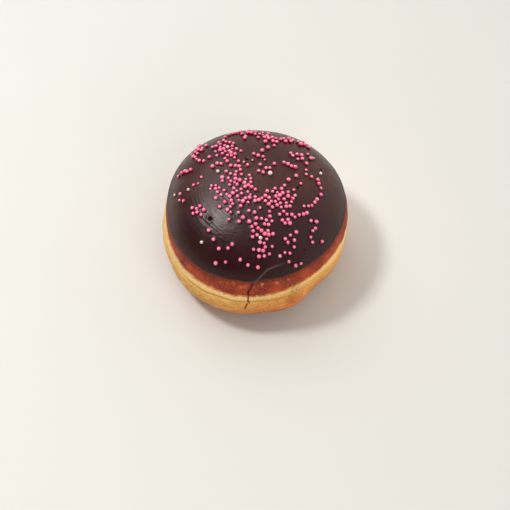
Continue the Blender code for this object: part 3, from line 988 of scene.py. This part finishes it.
@dataclass(frozen=True)
class PearlFinish:
    """Sugar pearls of one kind: a satin shell, each with its own tone."""

    # The pale colour painted on the crown as a highlight, the pearl's deep tone, and the painted shade at its
    # foot
    light: tuple
    deep: tuple
    foot: tuple

    def material(self, name: str) -> bpy.types.Material:
        """Mix the tone of each pearl, with a painted highlight on its crown, painted shade at its foot and a
        little mottling.
        """
        g = Graph(name)
        mottle = g.noise(0.6, 2.0)
        crown = g.attribute("crown") + (mottle - 0.5) * 0.5
        # Painted highlight: paler towards the crown of each pearl
        colour = g.blend(g.attribute("tone") * 0.3 + crown.ease(0.35, 1.0) * 0.7, self.deep, self.light)
        # Painted shade: darker towards the foot of each pearl
        colour = g.blend(crown.ease(0.48, -0.15), colour, self.foot)
        colour = g.shade(0.92 + 0.16 * mottle, colour)
        return g.finish(
            Base_Color=colour,
            Roughness=0.26 + 0.16 * mottle,
            Normal=g.bump(mottle, 0.05),
            Subsurface_Weight=0.08,
            Subsurface_Radius=(0.001, 0.0005, 0.0005),
            Subsurface_Scale=0.4,
            IOR=1.45,
        )


@dataclass
class Pearls:
    """All the pearls, laid by one seeded rule along the named drifts."""

    form: BunForm
    seed: int = 11
    tries: int = 14
    spacing: float = 1.66
    rise_share: float = 0.63
    # Plan position and radius of each pale pearl
    pale_spots: tuple = (
        (6.8, 6.0, 1.15),
        (-23.5, -24.7, 0.85),
        (-29.9, 1.6, 0.75),
        (-36.3, 2.5, 0.65),
        (-12.4, 22.8, 0.9),
        (-16.7, 8.1, 0.9),
        (29.6, 10.2, 0.8),
        (2.4, -25.6, 0.95),
    )

    def lay(self) -> list[Pearl]:
        """Work out where the pearls lie, and give each its size and kind."""
        draw = random.Random(self.seed)
        pearls: list[Pearl] = []
        for drift in DRIFTS.values():
            start, end = Vector(drift.start), Vector(drift.end)
            along = end - start
            across = Vector((-along.y, along.x)).normalized()
            for number in range(drift.count):
                for attempt in range(self.tries):
                    share = (number + draw.random()) / drift.count
                    aside = drift.bow * math.sin(math.pi * share) + draw.gauss(0.0, drift.scatter)
                    plan = start + along * share + across * aside * (1.0 + 0.1 * attempt)
                    point, normal = self.form.dome(plan.x, plan.y)
                    if all((point - other.point).length > self.spacing for other in pearls):
                        pearls.append(Pearl(point, normal))
                        break
        sizes = random.Random(self.seed + 1)
        for pearl in pearls:
            pearl.radius = min(max(sizes.gauss(0.97, 0.11), 0.70), 1.22)
        for x, y, radius in self.pale_spots:
            point, normal = self.form.dome(x, y)
            pearls = [pearl for pearl in pearls if (pearl.point - point).length > pearl.radius + 0.8 * radius]
            pearls.append(Pearl(point, normal, radius, PearlKind.PALE))
        return pearls

    def shapes(self) -> list[tuple[Array, Array]]:
        """A few pearls of slightly different shape, as points and triangles."""
        made = []
        for seed in range(4):
            bpy.ops.object.select_all(action="DESELECT")
            bpy.ops.mesh.primitive_ico_sphere_add(subdivisions=2, radius=1.0)
            blank = bpy.context.object
            bpy.ops.object.mode_set(mode="EDIT")
            bpy.ops.transform.vertex_random(offset=0.07, uniform=0.3, normal=0.6, seed=seed)
            bpy.ops.mesh.vertices_smooth(factor=0.4, repeat=1)
            bpy.ops.object.mode_set(mode="OBJECT")
            corners = np.empty(len(blank.data.polygons) * 3, np.int32)
            blank.data.polygons.foreach_get("vertices", corners)
            made.append((read_places(blank.data), corners.reshape(-1, 3)))
            bpy.data.objects.remove(blank)
        return made

    def build(self, pearls: list[Pearl], kind: PearlKind, finish: PearlFinish) -> bpy.types.Object:
        """Join the pearls of one kind into one piece and dress it."""
        shapes = self.shapes()
        draw = random.Random(kind.value)
        places, faces, tones, crowns = [], [], [], []
        for pearl in (p for p in pearls if p.kind is kind):
            points, corners = draw.choice(shapes)
            spin = np.array(Vector((0.0, 0.0, 1.0)).rotation_difference(pearl.normal).to_matrix())
            turn = np.array(Matrix.Rotation(draw.uniform(0.0, 2.0 * math.pi), 3, "Z"))
            squash = np.array((1.0, draw.uniform(0.93, 1.05), draw.uniform(0.92, 1.02)))
            centre = np.array(pearl.point + pearl.normal * self.rise_share * pearl.radius)
            faces.append(corners + len(places) * len(points))
            places.append((points * pearl.radius * squash) @ turn.T @ spin.T + centre)
            tones.append(np.full(len(points), draw.betavariate(1.6, 1.6)))
            # Height on the pearl towards its crown, which the material turns into painted highlight and shade
            crowns.append(points[:, 2])
        mesh = bpy.data.meshes.new(f"pearls_{kind.value}")
        mesh.from_pydata((np.concatenate(places) * MM).tolist(), [], np.concatenate(faces).tolist())
        write_numbers(mesh, tone=np.concatenate(tones), crown=np.concatenate(crowns))
        mesh.shade_smooth()
        piece = bpy.data.objects.new(mesh.name, mesh)
        bpy.context.scene.collection.objects.link(piece)
        dress(piece, finish.material(mesh.name))
        return piece


# Floor, light and camera


@dataclass(frozen=True)
class Lamp:
    """A square softbox aimed at the doughnut.

    Angles are in degrees, distance and size in metres, power in watts. A lamp that isn't mirrored
    lights the doughnut, but makes no gleam on it.
    """

    name: str
    azimuth: float
    elevation: float
    distance: float
    size: float
    power: float
    mirrored: bool = True
    colour: tuple[float, float, float] = (1.0, 0.98, 0.955)


@dataclass
class Studio:
    """A pale floor, a key light from the back left, softer ones round it and the camera."""

    floor_size: float = 6.0
    floor_colour: tuple = rgb(222, 223, 220)
    lamps: tuple[Lamp, ...] = (
        Lamp("key", 164.0, 60.5, 1.1, 0.19, 5.8),
        Lamp("sheen", 125.0, 50.0, 1.5, 0.9, 4.8),
        Lamp("fill", -65.0, 36.0, 1.6, 1.2, 9.3, mirrored=False, colour=(1.0, 0.90, 0.79)),
    )
    camera_place: tuple[float, float, float] = (0.0, -397.43, 627.56)
    camera_tilt: float = 58.0
    lens: float = 110.1

    def floor(self) -> bpy.types.Object:
        """A wide pale floor with faint mottling."""
        bpy.ops.object.select_all(action="DESELECT")
        bpy.ops.mesh.primitive_plane_add(size=self.floor_size, location=(0.0, 0.0, -0.05 * MM))
        floor = bpy.context.object
        floor.name = "floor"
        g = Graph("pale_floor")
        colour = g.shade(0.985 + 0.03 * g.noise(60.0, 3.0), self.floor_colour)
        floor.data.materials.append(g.finish(Base_Color=colour, Roughness=0.55))
        return floor

    @staticmethod
    def hang(lamp: Lamp) -> bpy.types.Object:
        """Hang a lamp."""
        azimuth, elevation = math.radians(lamp.azimuth), math.radians(lamp.elevation)
        flat = math.cos(elevation)
        way = Vector((math.cos(azimuth) * flat, math.sin(azimuth) * flat, math.sin(elevation)))
        bulb = bpy.data.lights.new(lamp.name, "AREA")
        bulb.shape = "SQUARE"
        bulb.size = lamp.size
        bulb.energy = lamp.power
        bulb.color = lamp.colour
        light = bpy.data.objects.new(lamp.name, bulb)
        light.location = way * lamp.distance
        light.rotation_euler = way.to_track_quat("Z", "Y").to_euler()
        light.visible_glossy = lamp.mirrored
        bpy.context.scene.collection.objects.link(light)
        return light

    def surround(self) -> None:
        """Even light from all round, brighter behind and above than in front."""
        world = bpy.data.worlds.new("surround")
        world.use_nodes = True
        tree = world.node_tree
        spot = tree.nodes.new("ShaderNodeTexCoord")
        way = tree.nodes.new("ShaderNodeVectorMath")
        way.operation = "DOT_PRODUCT"
        way.inputs[1].default_value = (0.34, 0.39, 0.0)
        tree.links.new(spot.outputs["Generated"], way.inputs[0])
        ramp = tree.nodes.new("ShaderNodeMapRange")
        tree.links.new(way.outputs["Value"], ramp.inputs["Value"])
        for key, value in {"From Min": -0.35, "From Max": 0.65, "To Min": 0.04, "To Max": 1.14}.items():
            ramp.inputs[key].default_value = value
        back = tree.nodes["Background"]
        back.inputs["Color"].default_value = (1.0, 0.965, 0.92, 1.0)
        tree.links.new(ramp.outputs["Result"], back.inputs["Strength"])
        bpy.context.scene.world = world

    def camera(self) -> bpy.types.Object:
        """The camera at the shown angle, looking down at the front."""
        data = bpy.data.cameras.new("camera")
        data.lens = self.lens
        data.sensor_width = 36.0
        data.clip_start = 0.01
        data.clip_end = 50.0
        camera = bpy.data.objects.new("camera", data)
        camera.location = Vector(self.camera_place) * MM
        camera.rotation_euler = (math.radians(90.0 - self.camera_tilt), 0.0, 0.0)
        bpy.context.scene.collection.objects.link(camera)
        bpy.context.scene.camera = camera
        return camera

    def build(self) -> None:
        """Set up floor, lights and camera."""
        self.floor()
        for lamp in self.lamps:
            self.hang(lamp)
        self.surround()
        self.camera()
        bpy.context.scene.view_settings.view_transform = "Standard"


def main() -> None:
    """Build the doughnut's pieces in order, then the studio round them."""
    logging.basicConfig(level=logging.INFO, format="%(name)s: %(message)s")
    form = BunForm()
    pearls = Pearls(form)
    laid = pearls.lay()
    pieces = [Bun(form).build(DoughFinish()), Icing(form).build(IcingFinish(), laid)]
    finishes = {
        PearlKind.PINK: PearlFinish(
            light=rgb(255, 176, 202), deep=rgb(226, 56, 112), foot=rgb(150, 12, 62)
        ),
        PearlKind.PALE: PearlFinish(
            light=rgb(252, 240, 232), deep=rgb(244, 214, 206), foot=rgb(206, 140, 144)
        ),
    }
    pieces += [pearls.build(laid, kind, finish) for kind, finish in finishes.items()]
    for piece in pieces:
        log.info("%s: %d faces", piece.name, len(piece.data.polygons))
    Studio().build()


if __name__ == "__main__":
    main()
